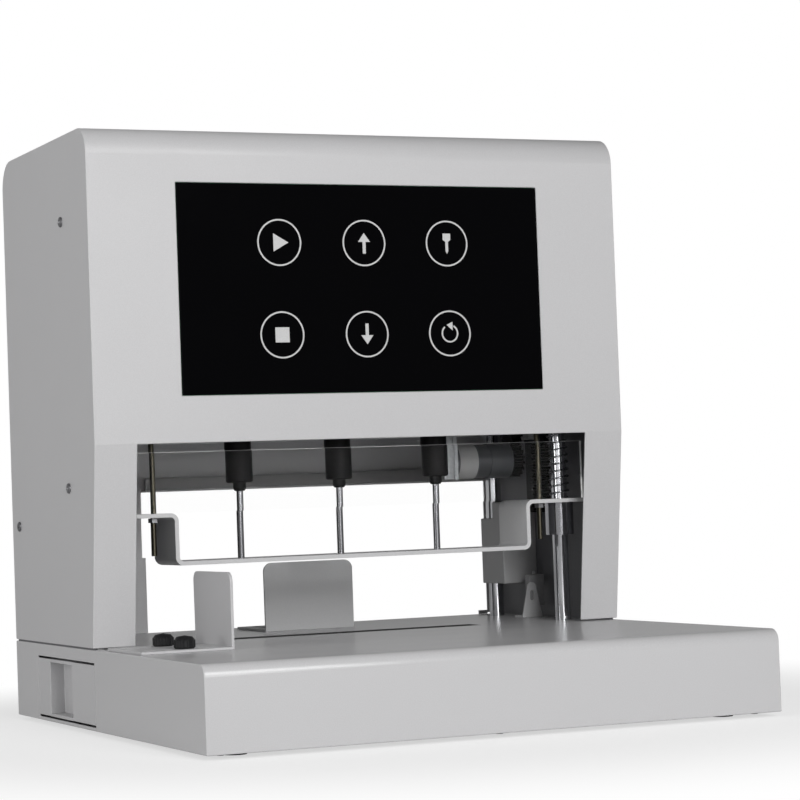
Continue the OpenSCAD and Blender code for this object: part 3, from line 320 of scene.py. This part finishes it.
def round_edges(obj, width):
    """Joins the faces' split edges, rounds the sharp ones and keeps flat faces flat."""
    mark_sharp_edges(obj.data, SHORT_BEND.get(obj.name, SHORT_EDGE))
    weld = obj.modifiers.new("weld", "WELD")
    weld.merge_threshold = SAME_PLACE
    flat = obj.modifiers.new("flat_faces", "DECIMATE")
    flat.decimate_type = "DISSOLVE"
    flat.angle_limit = FLAT_ANGLE
    bevel = obj.modifiers.new("edges", "BEVEL")
    bevel.width = width * MM
    bevel.segments = EDGE_STEPS
    bevel.limit_method = "WEIGHT"
    bevel.use_clamp_overlap = False
    bevel.loop_slide = False
    bevel.harden_normals = True


for material, names in NODE_FINISH.items():
    for name in names.split():
        mesh = nodes[name].data
        mesh.materials.clear()
        mesh.materials.append(material)
for name, width in EDGE.items():
    round_edges(nodes[name], width)


def sharp_below(node):
    """Leaves the lower edges of a node sharp."""
    mesh = node.data
    low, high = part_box(node.name)
    for edge, weight in zip(mesh.edges, mesh.attributes["bevel_weight_edge"].data):
        if any((node.matrix_world @ mesh.vertices[i].co).z < (low.z + high.z) / 2 for i in edge.vertices):
            weight.value = 0


sharp_below(nodes["press_guard"])


# Meshes

def add_piece(name, bm, material, body, smooth=EDGE_ANGLE):
    """Makes an object of a bmesh drawn in the row frame, and lets it ride on a body."""
    bmesh.ops.recalc_face_normals(bm, faces=bm.faces)
    mesh = bpy.data.meshes.new(name)
    bm.to_mesh(mesh)
    bm.free()
    mesh.materials.append(material)
    mesh.shade_smooth()
    mesh.set_sharp_from_angle(angle=smooth)
    obj = bpy.data.objects.new(name, mesh)
    bpy.context.scene.collection.objects.link(obj)
    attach(obj, body)
    return obj


def loft(bm, rings, place=Matrix.Identity(4), caps=True, closed=False):
    """Skins a row of rings that have the same number of points, each ring a list of vectors."""
    made = [[bm.verts.new(place @ Vector(p)) for p in ring] for ring in rings]
    pairs = list(zip(made, made[1:])) + ([(made[-1], made[0])] if closed else [])
    for a, b in pairs:
        for i in range(len(a)):
            j = (i + 1) % len(a)
            bm.faces.new((a[i], a[j], b[j], b[i]))
    if caps and not closed:
        bm.faces.new(made[0])
        bm.faces.new(made[-1])


def circle(radius, z, count=SIDES):
    """Points of a circle about the Z axis."""
    return [(radius * math.cos(2 * math.pi * i / count), radius * math.sin(2 * math.pi * i / count), z)
            for i in range(count)]


def turn(bm, profile, place=Matrix.Identity(4), count=SIDES):
    """A turned piece about its own Z from (radius, height) pairs."""
    loft(bm, [circle(r, z, count) for r, z in profile], place)


def sweep(bm, path, radius, sides=10):
    """A round wire along a path of points that climbs round the Z axis."""
    rings = []
    for i, p in enumerate(path):
        along = (path[min(i + 1, len(path) - 1)] - path[max(i - 1, 0)]).normalized()
        out = along.cross(Vector((0, 0, 1))).normalized()
        up = out.cross(along)
        rings.append([p + radius * (math.cos(a) * out + math.sin(a) * up)
                      for a in (2 * math.pi * k / sides for k in range(sides))])
    loft(bm, rings)


def plate(bm, outline, thick, place):
    """A flat piece of one outline, thick along its own Z."""
    loft(bm, [[(x, y, 0) for x, y in outline], [(x, y, thick) for x, y in outline]], place)


def band(bm, inner, outer, thick, place):
    """A flat piece between two outlines of as many points, closed to a ring."""
    loft(bm, [[(x, y, 0) for x, y in outer], [(x, y, thick) for x, y in outer],
              [(x, y, thick) for x, y in inner], [(x, y, 0) for x, y in inner]], place, closed=True)


def box(bm, low, high, soft=0.3 * MM):
    """A block between two corners with small bevels on all its edges."""
    made = bmesh.ops.create_cube(bm, size=1)["verts"]
    for v in made:
        v.co = [l if c < 0 else h for c, l, h in zip(v.co, low, high)]
    edges = {e for v in made for e in v.link_edges}
    bmesh.ops.bevel(bm, geom=list(edges), offset=soft, segments=3, profile=0.5, affect="EDGES")


# Touch rings with plain symbols, printed on the panel's glass

INK = 0.12 * MM
RING_R = 17.1 * MM
RING_LINE = 1.15 * MM
RING_XS = (-66 * MM, 0.8 * MM, 67.8 * MM)
RING_ZS = (347.5 * MM, 280.4 * MM)
RING_STEPS = 96
SYMBOL = 7.8 * MM
LINE = 1.2 * MM
RESET_R = 0.8 * SYMBOL
RESET_ARC = (60, -230)  # in degrees, from the arrow's tip round to its tail
glass_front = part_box("touch_panel")[0].y


def arc(radius, start, end, count=40):
    """Points of an arc, in degrees."""
    return [(radius * math.cos(math.radians(start + (end - start) * i / count)),
             radius * math.sin(math.radians(start + (end - start) * i / count))) for i in range(count + 1)]


def on_glass(x, z):
    """Places a flat drawing on the glass, its own Y up and its own Z towards the front."""
    return Matrix.Translation((x, glass_front, z)) @ Matrix.Rotation(math.pi / 2, 4, "X")


def arrow(s, turned=1):
    """An upward arrow, or a downward one."""
    points = [(-0.16, -1), (0.16, -1), (0.16, 0.1), (0.62, 0.1), (0, 0.95), (-0.62, 0.1), (-0.16, 0.1)]
    return [(s * x * turned, s * y * turned) for x, y in points]


def bit_symbol(s):
    """A chuck with a pointed bit under it."""
    return [(s * x, s * y) for x, y in (
        (0, -1), (0.14, -0.75), (0.14, 0.15), (0.4, 0.35), (0.4, 0.95), (-0.4, 0.95), (-0.4, 0.35),
        (-0.14, 0.15), (-0.14, -0.75))]


def play_symbol(s):
    """A triangle that points to the right."""
    return [(-0.6 * s, -0.85 * s), (0.9 * s, 0), (-0.6 * s, 0.85 * s)]


def stop_symbol(s):
    """A square."""
    half = 0.7 * s
    return [(-half, -half), (half, -half), (half, half), (-half, half)]


def reset_symbol(bm, s, place):
    """An open ring that ends in an arrow's head."""
    inner, outer = arc(RESET_R - LINE / 2, *RESET_ARC), arc(RESET_R + LINE / 2, *RESET_ARC)
    plate(bm, outer + inner[::-1], INK, place)
    tip = math.radians(RESET_ARC[0])
    head = Matrix.Translation((RESET_R * math.cos(tip), RESET_R * math.sin(tip), 0))
    plate(bm, [(-0.1 * s, 0.42 * s), (-0.1 * s, -0.42 * s), (-0.72 * s, 0.12 * s)], INK, place @ head)


def draw_symbols():
    """Six rings in two rows, each with its symbol."""
    bm = bmesh.new()
    inner, outer = (arc(r, 0, 360, RING_STEPS)[:-1] for r in (RING_R - RING_LINE, RING_R))
    for x in RING_XS:
        for z in RING_ZS:
            band(bm, inner, outer, INK, on_glass(x, z))
    left, middle, right = RING_XS
    top, low = RING_ZS
    plate(bm, play_symbol(SYMBOL), INK, on_glass(left, top))
    plate(bm, arrow(SYMBOL), INK, on_glass(middle, top))
    plate(bm, bit_symbol(SYMBOL), INK, on_glass(right, top))
    plate(bm, stop_symbol(SYMBOL), INK, on_glass(left, low))
    plate(bm, arrow(SYMBOL, -1), INK, on_glass(middle, low))
    reset_symbol(bm, SYMBOL, on_glass(right, low))
    add_piece("touch_symbols", bm, ring_ink, "frame")


draw_symbols()


# Cross recessed screws in the sides

SIDE_HEAD = 1.6 * MM
SIDE_RADIUS = 3.75 * MM
SIDE_TURN = math.radians(20)  # each recess is turned by this, and by more for each metre that it is higher
SIDE_TURN_MORE = math.radians(900)
HEAD_PROFILE = ((1, 0), (1, 0.45), (0.93, 0.78), (0.78, 0.96), (0.62, 1))  # shares of radius and height
RECESS_ARM = 0.52  # of the head's radius
RECESS_HALF = 0.13
RECESS_FLOOR = (0.5, 0.7, 0.35)  # shares of the arm, of the half width and of the head's height
RECESS_STEPS = 3
TINY = 1e-9  # keeps a division by a zero cosine or sine finite
SPOT_REACH = 3  # points nearer than this many radii belong to one screw


def cross_ring(arm, half, z, count):
    """A cross outline about the Z axis, with a point at each corner."""
    corner = math.degrees(math.atan2(half, arm))
    turns = [0, corner, 45, 90 - corner]
    angles = [q + a + (b - a) * k / count
              for q in (0, 90, 180, 270) for a, b in zip(turns, turns[1:] + [90]) for k in range(count)]
    ring = []
    for a in (math.radians(v) for v in angles):
        c, s = abs(math.cos(a)) + TINY, abs(math.sin(a)) + TINY
        r = max(min(arm / c, half / s), min(arm / s, half / c))
        ring.append((r * math.cos(a), r * math.sin(a), z))
    return ring, [math.radians(v) for v in angles]


def cross_screw(bm, radius, height, place):
    """A pan head with a cross recess, standing on its own plane."""
    arm, half = RECESS_ARM * radius, RECESS_HALF * radius
    mouth, angles = cross_ring(arm, half, height, RECESS_STEPS)
    arm_low, half_low, floor_z = RECESS_FLOOR
    floor, _ = cross_ring(arm_low * arm, half_low * half, floor_z * height, RECESS_STEPS)

    def rim(r, z):
        return [(r * math.cos(a), r * math.sin(a), z) for a in angles]

    rims = [rim(wide * radius, high * height) for wide, high in HEAD_PROFILE]
    loft(bm, rims + [mouth, floor], place)


def screw_spots(node, radius):
    """Centres (side, y, z) of a node's screws, found from its groups of points."""
    groups = []
    for v in nodes[node].data.vertices:
        side = 1 if v.co.x > 0 else -1
        for g in groups:
            if g[0] == side and math.hypot(v.co.y - g[1], v.co.z - g[2]) < SPOT_REACH * radius:
                g[3].append((v.co.y, v.co.z))
                break
        else:
            groups.append((side, v.co.y, v.co.z, [(v.co.y, v.co.z)]))
    spots = []
    for side, _, _, points in groups:
        ys, zs = [p[0] for p in points], [p[1] for p in points]
        spots.append((side, (min(ys) + max(ys)) / 2, (min(zs) + max(zs)) / 2))
    return spots


def side_screws():
    """Screw heads on both sides, where the frame's own screws are."""
    lo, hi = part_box("side_screws")
    bm = bmesh.new()
    for side, y, z in screw_spots("side_screws", SIDE_RADIUS):
        x = hi.x - SIDE_HEAD if side > 0 else lo.x + SIDE_HEAD
        turned = Matrix.Rotation(SIDE_TURN + SIDE_TURN_MORE * z, 4, "Z")
        face = Matrix.Rotation(side * math.pi / 2, 4, "Y") @ turned
        cross_screw(bm, SIDE_RADIUS, SIDE_HEAD, Matrix.Translation((x, y, z)) @ face)
    obj = add_piece("cross_screws", bm, screw_steel, "frame")
    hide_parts("side_screws")


side_screws()


# Press springs of round wire, each with a mesh of its own

SPRING_TURNS = 14
SPRING_WIRE = 1.4 * MM
SPRING_STEPS = 32  # points in a turn
SPRING_SMOOTH = math.radians(60)


def press_spring(name, node):
    """A coil that fills the box of the spring it replaces."""
    lo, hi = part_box(node)
    middle = (lo + hi) / 2
    radius = (hi.x - lo.x) / 2 - SPRING_WIRE / 2
    start, end = lo.z + SPRING_WIRE / 2, hi.z - SPRING_WIRE / 2
    steps = SPRING_TURNS * SPRING_STEPS
    path = []
    for i in range(steps + 1):
        a = 2 * math.pi * SPRING_TURNS * i / steps
        path.append(Vector((middle.x + radius * math.cos(a), middle.y + radius * math.sin(a),
                            start + (end - start) * i / steps)))
    bm = bmesh.new()
    sweep(bm, path, SPRING_WIRE / 2)
    obj = add_piece(name, bm, spring_steel, "head", smooth=SPRING_SMOOTH)
    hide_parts(node)
    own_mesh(obj)


press_spring("left_spring_wire", "left_press_spring")
press_spring("right_spring_wire", "right_press_spring")


# Gear motor: a bare label round its can, a flange on its bracket

LABEL_T = 0.15 * MM
LABEL_SPAN = (0.05, 0.37)  # along the motor, in shares of its length
LABEL_ARC = 125  # degrees of the can's front that the label covers, up and down
LABEL_STEPS = 48


def motor_label():
    """A bare strip round the front of the gear motor's can."""
    lo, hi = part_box("lift_motor")
    middle, radius = (lo + hi) / 2, (hi.z - lo.z) / 2
    length = hi.x - lo.x
    low, high = (lo.x + share * length for share in LABEL_SPAN)
    bend = arc(1, 180 - LABEL_ARC, 180 + LABEL_ARC, LABEL_STEPS)
    bm = bmesh.new()
    section = ((low, radius), (low, radius + LABEL_T), (high, radius + LABEL_T), (high, radius))
    loft(bm, [[(x, middle.y + r * c, middle.z + r * s) for x, r in section] for c, s in bend])
    add_piece("motor_label", bm, label, "head")


FLANGE_W = 9 * MM
FLANGE_T = 2 * MM
BRACKET_T = 3 * MM


def bracket_flange():
    """The front edge of the motor's bracket, bent away from the motor."""
    lo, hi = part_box("lift_motor_bracket")
    bm = bmesh.new()
    edge = hi.x - BRACKET_T
    box(bm, (edge - FLANGE_W, lo.y, lo.z), (edge, lo.y + FLANGE_T, hi.z - BRACKET_T))
    add_piece("bracket_flange", bm, zinc, "head")


motor_label()
bracket_flange()


# Edges of the rear cover's opening: a lip turned up over it, a doubled sheet and a tab at its legs' feet

SHEET = 1.5 * MM
LIP_RISE = 11 * MM
LIP_DEPTH = 13.5 * MM
OPENING_TOP = 171 * MM
OPENING = (-106 * MM, 195 * MM)
DOUBLER_X = (-130 * MM, -103.75 * MM)
DOUBLER_Z = (60.1 * MM, 119.4 * MM)
TAB_W = 8 * MM
TAB_H = 3.1 * MM


def rear_edges():
    """The lip, the doubled sheet and the tab, each a piece of its own."""
    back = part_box("rear_cover")[1].y
    front = back - LIP_DEPTH
    bm = bmesh.new()
    box(bm, (OPENING[0], front, OPENING_TOP + SHEET), (OPENING[1], front + SHEET, OPENING_TOP + LIP_RISE))
    # the lip's darker grey is painted shade
    add_piece("rear_lip", bm, lip_painted_shade, "frame")
    bm = bmesh.new()
    box(bm, (DOUBLER_X[0], back - 2 * SHEET, DOUBLER_Z[0]), (DOUBLER_X[1], back - SHEET, DOUBLER_Z[1]))
    add_piece("leg_doubler", bm, paint, "frame")
    bm = bmesh.new()
    foot = DOUBLER_Z[0]
    box(bm, (OPENING[1] - TAB_W, back - SHEET, foot), (OPENING[1], back, foot + TAB_H))
    add_piece("leg_tab", bm, paint, "frame")


rear_edges()


# Floor and ceiling of the drawer's pull

PULL_FROM = 54.5 * MM  # from the drawer's near edge to the channel
PULL_W = 55 * MM
PULL_D = 11 * MM
CAP_T = 2.2 * MM
CAP_IN = 0.2 * MM


def pull_caps():
    """Strips that close the pull's channel above and below, let into its walls."""
    lo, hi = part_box("drawer_front")
    near = lo.y + PULL_FROM
    bm = bmesh.new()
    for low in (lo.z, hi.z - CAP_T):
        far = (lo.x + PULL_D + CAP_IN, near + PULL_W + CAP_IN, low + CAP_T)
        box(bm, (lo.x, near - CAP_IN, low), far, soft=CAP_IN)
    add_piece("pull_caps", bm, paint, "drawer")


pull_caps()


# Marks on the power switch: a bar for on, a ring for off

ROCKER_TILT = math.radians(8)
ROCKER_DIP = 1.2 * MM
MARK = 2.4 * MM
MARK_LINE = 0.7 * MM


def switch_marks():
    """Marks on the middles of the rocker's two faces, which dip towards its pivot."""
    pivot = Vector(next(j["pos_m"] for j in frame["joints"] if j["name"] == "rocker_tilt"))
    untilt = Matrix.Rotation(-ROCKER_TILT, 3, "X")
    corners = [untilt @ (nodes["rocker"].matrix_world @ v.co - pivot) for v in nodes["rocker"].data.vertices]
    face, half = max(c.y for c in corners), max(c.z for c in corners)
    slope = math.atan2(ROCKER_DIP, half)
    bm = bmesh.new()
    for end in (1, -1):
        place = (Matrix.Translation((pivot.x, pivot.y, pivot.z)) @ Matrix.Rotation(ROCKER_TILT, 4, "X")
                 @ Matrix.Translation((0, face - ROCKER_DIP / 2, end * half / 2))
                 @ Matrix.Rotation(-math.pi / 2 - end * slope, 4, "X"))
        if end > 0:
            bar = MARK_LINE / 2
            plate(bm, [(-bar, -MARK), (bar, -MARK), (bar, MARK), (-bar, MARK)], INK, place)
        else:
            band(bm, arc(MARK - MARK_LINE, 0, 360)[:-1], arc(MARK, 0, 360)[:-1], INK, place)
    add_piece("switch_marks", bm, switch_ink, "rocker")


switch_marks()


# Screws on the table behind the gauge, and under the bottom plate

GAUGE_RADIUS = 4 * MM
GAUGE_HEAD = 2.4 * MM
GAUGE_SHANK = 1.9 * MM
GAUGE_TURN = math.radians(30)
GAUGE_TURN_MORE = 20  # radians for each metre to the right
BOTTOM_INSET = 12 * MM
BOTTOM_RADIUS = 3 * MM
BOTTOM_HEAD = 1.5 * MM
BOTTOM_TURN_MORE = 30


def table_screws():
    """The gauge's screws, with a cross in each head."""
    lo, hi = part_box("gauge_screws")
    bm = bmesh.new()
    for x in (lo.x + GAUGE_RADIUS, hi.x - GAUGE_RADIUS):
        place = Matrix.Translation((x, (lo.y + hi.y) / 2, hi.z - GAUGE_HEAD))
        turned = Matrix.Rotation(GAUGE_TURN + GAUGE_TURN_MORE * x, 4, "Z")
        cross_screw(bm, GAUGE_RADIUS, GAUGE_HEAD, place @ turned)
        turn(bm, [(GAUGE_SHANK, lo.z - hi.z + GAUGE_HEAD), (GAUGE_SHANK, 0)], place)
    obj = add_piece("gauge_cross_screws", bm, screw_steel, "frame")
    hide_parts("gauge_screws")


def bottom_screws():
    """Screws at the edges of the bottom plate."""
    lo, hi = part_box("bottom_plate")
    bm = bmesh.new()
    for x in (lo.x + BOTTOM_INSET, (lo.x + hi.x) / 2, hi.x - BOTTOM_INSET):
        for y in (lo.y + BOTTOM_INSET, hi.y - BOTTOM_INSET):
            place = Matrix.Translation((x, y, lo.z)) @ Matrix.Rotation(math.pi, 4, "X")
            turned = Matrix.Rotation(BOTTOM_TURN_MORE * x, 4, "Z")
            cross_screw(bm, BOTTOM_RADIUS, BOTTOM_HEAD, place @ turned)
    add_piece("bottom_screws", bm, screw_steel, "frame")


table_screws()
bottom_screws()


# Camera, lights and stage

def look_from_photo():
    """The photograph's camera."""
    yaw, pitch, roll = CAMERA_YAW, CAMERA_PITCH, CAMERA_ROLL
    ahead = Vector((math.sin(yaw) * math.cos(pitch), math.cos(yaw) * math.cos(pitch), -math.sin(pitch)))
    right = Vector((math.cos(yaw), -math.sin(yaw), 0))
    up = right.cross(ahead)
    x = math.cos(roll) * right + math.sin(roll) * up
    y = -math.sin(roll) * right + math.cos(roll) * up
    data = bpy.data.cameras.new("camera")
    data.sensor_width = SENSOR
    data.lens = FOCAL_PX / IMAGE_PX * SENSOR
    camera = bpy.data.objects.new("camera", data)
    camera.matrix_world = Matrix((
        (x.x, y.x, -ahead.x, CAMERA_AT.x), (x.y, y.y, -ahead.y, CAMERA_AT.y),
        (x.z, y.z, -ahead.z, CAMERA_AT.z), (0, 0, 0, 1)))
    bpy.context.scene.collection.objects.link(camera)
    bpy.context.scene.camera = camera


LAMP_SIZE = 1.2
KEY_AT = (0.02, -2.6, 0.85)
KEY_AIM = (0, 0, 0.25)
KEY_POWER = 41
FILL_AT = (-2.6, -0.4, 0.7)
FILL_AIM = (0, 0, 0.2)
FILL_POWER = 18.5


def area_light(name, at, target, power):
    """A square lamp that faces its target."""
    data = bpy.data.lights.new(name, "AREA")
    data.size = LAMP_SIZE
    data.energy = power
    lamp = bpy.data.objects.new(name, data)
    lamp.location = at
    lamp.rotation_euler = (Vector(target) - Vector(at)).to_track_quat("-Z", "Y").to_euler()
    bpy.context.scene.collection.objects.link(lamp)


def seen_directly(tree):
    """One for camera and transmission rays, else zero."""
    path = tree.nodes.new("ShaderNodeLightPath")
    either = tree.nodes.new("ShaderNodeMath")
    either.operation = "MAXIMUM"
    tree.links.new(path.outputs["Is Camera Ray"], either.inputs[0])
    tree.links.new(path.outputs["Is Transmission Ray"], either.inputs[1])
    return either.outputs[0]


HORIZON_LIGHT = 0.42
ZENITH_LIGHT = 0.13


def white_world():
    """White behind the object, a dimmer sky for its light and reflections."""
    world = bpy.data.worlds.new("studio")
    bpy.context.scene.world = world
    world.use_nodes = True
    tree = world.node_tree
    background = tree.nodes["Background"]
    background.inputs["Color"].default_value = (1, 1, 1, 1)
    at = tree.nodes.new("ShaderNodeTexCoord")
    height = tree.nodes.new("ShaderNodeSeparateXYZ")
    tree.links.new(at.outputs["Generated"], height.inputs[0])
    light = add_node(tree, "ShaderNodeMapRange", To_Min=HORIZON_LIGHT, To_Max=ZENITH_LIGHT)
    tree.links.new(height.outputs["Z"], light.inputs["Value"])
    strength = add_node(tree, "ShaderNodeMapRange", To_Max=1.0)
    tree.links.new(seen_directly(tree), strength.inputs["Value"])
    tree.links.new(light.outputs["Result"], strength.inputs["To Min"])
    tree.links.new(strength.outputs["Result"], background.inputs["Strength"])


FLOOR_SIZE = 8.0
FLOOR_WHITE = 0.62
FLOOR_FADE = (0.3, 0.62)  # metres from the middle where the shadow starts to fade and where it ends
FLOOR_BOUNCE = 0.8  # the floor's grey for light that it throws back


def floor_look():
    """Pale with a soft shadow near the object, turning to the background's white further off."""
    mat, tree, shader = new_material("floor")
    tree.nodes.remove(shader)
    output = tree.nodes["Material Output"]
    diffuse = add_node(tree, "ShaderNodeBsdfDiffuse", Color=(1 - FLOOR_WHITE,) * 3 + (1,))
    glow = add_node(tree, "ShaderNodeEmission", Color=(1, 1, 1, 1), Strength=FLOOR_WHITE)
    near = tree.nodes.new("ShaderNodeAddShader")
    tree.links.new(diffuse.outputs[0], near.inputs[0])
    tree.links.new(glow.outputs[0], near.inputs[1])
    far = add_node(tree, "ShaderNodeEmission", Color=(1, 1, 1, 1), Strength=1.0)
    at = tree.nodes.new("ShaderNodeTexCoord")
    length = tree.nodes.new("ShaderNodeVectorMath")
    length.operation = "LENGTH"
    tree.links.new(at.outputs["Object"], length.inputs[0])
    fade = add_node(tree, "ShaderNodeMapRange", From_Min=FLOOR_FADE[0], From_Max=FLOOR_FADE[1])
    fade.interpolation_type = "SMOOTHSTEP"
    tree.links.new(length.outputs["Value"], fade.inputs["Value"])
    seen = tree.nodes.new("ShaderNodeMixShader")
    tree.links.new(fade.outputs["Result"], seen.inputs["Fac"])
    tree.links.new(near.outputs[0], seen.inputs[1])
    tree.links.new(far.outputs[0], seen.inputs[2])
    plain = add_node(tree, "ShaderNodeBsdfDiffuse", Color=(FLOOR_BOUNCE,) * 3 + (1,))
    mix = tree.nodes.new("ShaderNodeMixShader")
    tree.links.new(seen_directly(tree), mix.inputs["Fac"])
    tree.links.new(plain.outputs[0], mix.inputs[1])
    tree.links.new(seen.outputs[0], mix.inputs[2])
    tree.links.new(mix.outputs[0], output.inputs["Surface"])
    return mat


def white_floor():
    """A floor that shows the object's shadow."""
    bm = bmesh.new()
    bmesh.ops.create_grid(bm, x_segments=1, y_segments=1, size=FLOOR_SIZE / 2)
    mesh = bpy.data.meshes.new("floor")
    bm.to_mesh(mesh)
    bm.free()
    floor = bpy.data.objects.new("floor", mesh)
    bpy.context.scene.collection.objects.link(floor)
    mesh.materials.append(floor_look())


bpy.context.scene.view_settings.view_transform = "Standard"
look_from_photo()
white_world()
white_floor()
area_light("key", KEY_AT, KEY_AIM, KEY_POWER)
area_light("fill", FILL_AT, FILL_AIM, FILL_POWER)
